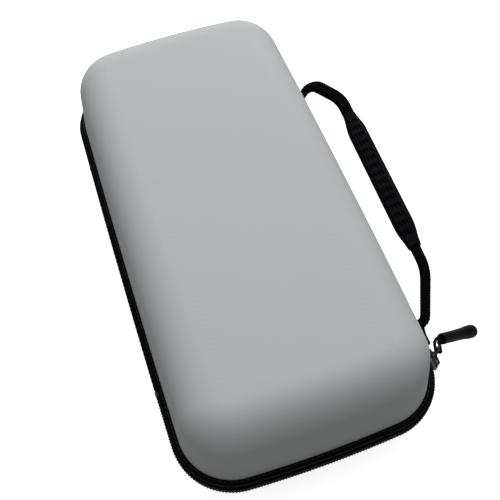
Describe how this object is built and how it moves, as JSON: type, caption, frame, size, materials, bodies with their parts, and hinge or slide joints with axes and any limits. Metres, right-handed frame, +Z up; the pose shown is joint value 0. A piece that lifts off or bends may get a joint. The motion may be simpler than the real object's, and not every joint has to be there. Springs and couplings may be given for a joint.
{
  "type": "zippered hard carry case",
  "caption": "Moulded zippered hard case with a domed lid, fabric hinge, two-slider coil zipper, webbing carry handle with a rubber grip, foam insert and net pocket.",
  "frame": {"origin": "centre of the base's flat resting face", "axes": "+Z up, +Y along the case away from the parked sliders' end, +X towards the carry handle, fabric hinge at -X"},
  "size_m": [0.1719, 0.267, 0.0905],
  "materials": {
    "shell_fabric": "light grey twill laminate over moulded EVA foam",
    "lining_fabric": "black brushed lining",
    "tape_fabric": "black woven zipper tape",
    "coil_nylon": "black nylon coil",
    "slider_enamel": "black enamelled zinc",
    "stop_metal": "black enamelled stops",
    "cord": "black braided cord",
    "pull_rubber": "black moulded soft rubber",
    "grip_rubber": "black moulded soft rubber",
    "webbing": "black woven webbing",
    "insert_foam": "black velour over EVA foam",
    "net": "black knitted net",
    "elastic": "black knitted elastic"
  },
  "bodies": {
    "base": {"base_shell": "shell_fabric", "base_lining": "lining_fabric", "base_rim_tape": "tape_fabric", "base_zip_coil": "coil_nylon", "base_zip_stops": "stop_metal", "base_hinge_spine": "tape_fabric", "base_inner_binding": "tape_fabric", "insert_floor": "insert_foam", "insert_frame": "insert_foam"},
    "lid": {"lid_shell": "shell_fabric", "lid_lining": "lining_fabric", "lid_rim_tape": "tape_fabric", "lid_zip_coil": "coil_nylon", "lid_zip_stops": "stop_metal", "lid_hinge_spine": "tape_fabric", "lid_inner_binding": "tape_fabric", "pocket_net": "net", "pocket_gusset": "tape_fabric", "pocket_elastic": "elastic", "handle_patch_near": "webbing", "handle_patch_far": "webbing"},
    "handle": {"handle_webbing": "webbing", "handle_grip": "grip_rubber"},
    "near_slider": {"near_slider_body": "slider_enamel", "near_slider_bridge": "slider_enamel"},
    "near_tab": {"near_slider_tab": "slider_enamel"},
    "near_pull": {"near_pull_cord": "cord", "near_rubber_pull": "pull_rubber"},
    "far_slider": {"far_slider_body": "slider_enamel", "far_slider_bridge": "slider_enamel"},
    "far_tab": {"far_slider_tab": "slider_enamel"},
    "far_pull": {"far_pull_cord": "cord", "far_rubber_pull": "pull_rubber"}
  },
  "joints": [
    {"name": "lid_open", "type": "hinge", "parent": "base", "child": "lid", "pos_m": [-0.0679, 0, 0.041], "axis": [0, -1, 0], "range_deg": [0, 160]},
    {"name": "handle_swing", "type": "hinge", "parent": "lid", "child": "handle", "pos_m": [0.0661, 0, 0.0485], "axis": [0, -1, 0], "range_deg": [-26, 68]},
    {"name": "near_slider_travel", "type": "hinge", "parent": "base", "child": "near_slider", "pos_m": [0.03634, -0.1012, 0.041], "axis": [0, 0, 1], "range_deg": [-84, 0]},
    {"name": "near_tab_flip", "type": "hinge", "parent": "near_slider", "child": "near_tab", "pos_m": [0.07018, -0.10293, 0.041], "axis": [0, 0, 1], "range_deg": [-85, 0]},
    {"name": "near_pull_swing", "type": "hinge", "parent": "near_tab", "child": "near_pull", "pos_m": [0.07419, -0.09847, 0.041], "axis": [-0.9063, 0.4226, 0], "range_deg": [-22, 12]},
    {"name": "far_slider_travel", "type": "slide", "parent": "base", "child": "far_slider", "axis": [0, 1, 0], "range_m": [0, 0.178]},
    {"name": "far_tab_flip", "type": "hinge", "parent": "far_slider", "child": "far_tab", "pos_m": [0.07033, -0.0917, 0.041], "axis": [0, 0, 1], "range_deg": [-50, 6]},
    {"name": "far_pull_swing", "type": "hinge", "parent": "far_tab", "child": "far_pull", "pos_m": [0.07204, -0.08368, 0.0383], "axis": [-0.2079, -0.9781, 0], "range_deg": [-8, 40]}
  ]
}
